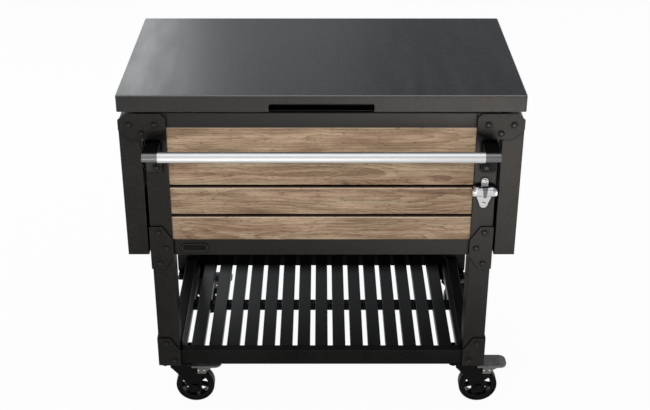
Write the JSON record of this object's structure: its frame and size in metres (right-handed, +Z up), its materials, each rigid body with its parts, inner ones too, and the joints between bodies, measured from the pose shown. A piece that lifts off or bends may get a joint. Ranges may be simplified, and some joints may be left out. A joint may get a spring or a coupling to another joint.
{
  "type": "patio cooler cart",
  "caption": "Wheeled patio cooler cart with a hinged worktop lid over an insulated tub, fold-up side leaves, a wood plank front, a towel bar, a bottle opener and a slatted lower shelf.",
  "frame": {"origin": "on the floor, under the middle of the frame between the four legs", "axes": "+Z up, the wood front faces -Y, +X to the right of someone facing the front"},
  "size_m": [0.981, 0.6315, 0.914],
  "materials": {
    "powder_coated_steel": "dark charcoal powder coat, satin with a fine texture",
    "worktop_steel": "dark charcoal powder coat, satin, faintly brushed",
    "oak": "oiled oak with an open grain, matt",
    "insulation_foam": "rigid insulation foam, hidden",
    "liner_plastic": "smooth moulded plastic",
    "drain_plastic": "moulded plastic, fine grain",
    "gasket_rubber": "soft extruded seal",
    "hinge_steel": "black coated, satin",
    "bar_aluminium": "fine brushed, clear anodised",
    "black_casting": "black coated casting, satin",
    "opener_chrome": "satin chrome plating",
    "black_fasteners": "black oxide, satin",
    "caster_steel": "black coated pressed steel",
    "wheel_plastic": "moulded black plastic",
    "tyre_rubber": "solid black rubber"
  },
  "bodies": {
    "frame": {"leg_front_left": "powder_coated_steel", "leg_front_right": "powder_coated_steel", "leg_back_left": "powder_coated_steel", "leg_back_right": "powder_coated_steel", "front_top_rail": "powder_coated_steel", "front_bottom_rail": "powder_coated_steel", "back_panel": "powder_coated_steel", "side_panels": "powder_coated_steel", "bottom_pan": "powder_coated_steel", "front_backing_panel": "powder_coated_steel", "leaf_brackets": "powder_coated_steel", "waist_plates": "powder_coated_steel", "foot_plates": "powder_coated_steel", "shelf_frame_rails": "powder_coated_steel", "shelf_slats": "powder_coated_steel", "shelf_cross_bar": "powder_coated_steel", "front_plank_1": "oak", "front_plank_2": "oak", "front_plank_3": "oak", "front_plank_4": "oak", "tub_foam": "insulation_foam", "cooler_tub": "liner_plastic", "drain_spout": "drain_plastic", "hinge_frame_leaves": "hinge_steel", "hinge_pins": "hinge_steel", "towel_bar": "bar_aluminium", "towel_bar_brackets": "black_casting", "bottle_opener": "opener_chrome", "leaf_pivot_bolts": "black_fasteners", "plate_bolts": "black_fasteners", "caster_plates": "caster_steel"},
    "lid": {"lid_shell": "worktop_steel", "lid_liner": "liner_plastic", "lid_foam": "insulation_foam", "lid_gasket": "gasket_rubber", "hinge_lid_leaves": "hinge_steel"},
    "left_leaf": {"left_drop_leaf": "powder_coated_steel"},
    "right_leaf": {"right_drop_leaf": "powder_coated_steel"},
    "drain_cap": {"drain_cap": "drain_plastic"},
    "swivel_front_left": {"caster_fork_front_left": "caster_steel", "caster_axle_front_left": "caster_steel"},
    "wheel_front_left": {"caster_wheel_front_left": "wheel_plastic", "caster_tyre_front_left": "tyre_rubber"},
    "pedal_front_left": {"caster_pedal_front_left": "caster_steel"},
    "swivel_front_right": {"caster_fork_front_right": "caster_steel", "caster_axle_front_right": "caster_steel"},
    "wheel_front_right": {"caster_wheel_front_right": "wheel_plastic", "caster_tyre_front_right": "tyre_rubber"},
    "pedal_front_right": {"caster_pedal_front_right": "caster_steel"},
    "swivel_back_left": {"caster_fork_back_left": "caster_steel", "caster_axle_back_left": "caster_steel"},
    "wheel_back_left": {"caster_wheel_back_left": "wheel_plastic", "caster_tyre_back_left": "tyre_rubber"},
    "pedal_back_left": {"caster_pedal_back_left": "caster_steel"},
    "swivel_back_right": {"caster_fork_back_right": "caster_steel", "caster_axle_back_right": "caster_steel"},
    "wheel_back_right": {"caster_wheel_back_right": "wheel_plastic", "caster_tyre_back_right": "tyre_rubber"},
    "pedal_back_right": {"caster_pedal_back_right": "caster_steel"}
  },
  "joints": [
    {"name": "lid_hinge", "type": "hinge", "parent": "frame", "child": "lid", "pos_m": [0, 0.276, 0.8665], "axis": [-1, 0, 0], "range_deg": [0, 100]},
    {"name": "left_leaf_pivot", "type": "hinge", "parent": "frame", "child": "left_leaf", "pos_m": [-0.459, 0, 0.8367], "axis": [0, 1, 0], "range_deg": [0, 90]},
    {"name": "right_leaf_pivot", "type": "hinge", "parent": "frame", "child": "right_leaf", "pos_m": [0.459, 0, 0.8367], "axis": [0, -1, 0], "range_deg": [0, 90]},
    {"name": "drain_cap_turn", "type": "hinge", "parent": "frame", "child": "drain_cap", "pos_m": [0, 0.12, 0.45], "axis": [0, 0, 1], "range_deg": [0, 540]},
    {"name": "swivel_front_left", "type": "hinge", "parent": "frame", "child": "swivel_front_left", "pos_m": [-0.382, -0.2195, 0.13], "axis": [0, 0, 1], "continuous": true},
    {"name": "wheel_spin_front_left", "type": "hinge", "parent": "swivel_front_left", "child": "wheel_front_left", "pos_m": [-0.341, -0.2195, 0.0515], "axis": [0, 1, 0], "continuous": true},
    {"name": "brake_front_left", "type": "hinge", "parent": "swivel_front_left", "child": "pedal_front_left", "pos_m": [-0.322, -0.2195, 0.1085], "axis": [0, 1, 0], "range_deg": [0, 15]},
    {"name": "swivel_front_right", "type": "hinge", "parent": "frame", "child": "swivel_front_right", "pos_m": [0.382, -0.2195, 0.13], "axis": [0, 0, 1], "continuous": true},
    {"name": "wheel_spin_front_right", "type": "hinge", "parent": "swivel_front_right", "child": "wheel_front_right", "pos_m": [0.423, -0.2195, 0.0515], "axis": [0, 1, 0], "continuous": true},
    {"name": "brake_front_right", "type": "hinge", "parent": "swivel_front_right", "child": "pedal_front_right", "pos_m": [0.442, -0.2195, 0.1085], "axis": [0, 1, 0], "range_deg": [0, 15]},
    {"name": "swivel_back_left", "type": "hinge", "parent": "frame", "child": "swivel_back_left", "pos_m": [-0.382, 0.2195, 0.13], "axis": [0, 0, 1], "continuous": true},
    {"name": "wheel_spin_back_left", "type": "hinge", "parent": "swivel_back_left", "child": "wheel_back_left", "pos_m": [-0.341, 0.2195, 0.0515], "axis": [0, 1, 0], "continuous": true},
    {"name": "brake_back_left", "type": "hinge", "parent": "swivel_back_left", "child": "pedal_back_left", "pos_m": [-0.322, 0.2195, 0.1085], "axis": [0, 1, 0], "range_deg": [0, 15]},
    {"name": "swivel_back_right", "type": "hinge", "parent": "frame", "child": "swivel_back_right", "pos_m": [0.382, 0.2195, 0.13], "axis": [0, 0, 1], "continuous": true},
    {"name": "wheel_spin_back_right", "type": "hinge", "parent": "swivel_back_right", "child": "wheel_back_right", "pos_m": [0.423, 0.2195, 0.0515], "axis": [0, 1, 0], "continuous": true},
    {"name": "brake_back_right", "type": "hinge", "parent": "swivel_back_right", "child": "pedal_back_right", "pos_m": [0.442, 0.2195, 0.1085], "axis": [0, 1, 0], "range_deg": [0, 15]}
  ]
}
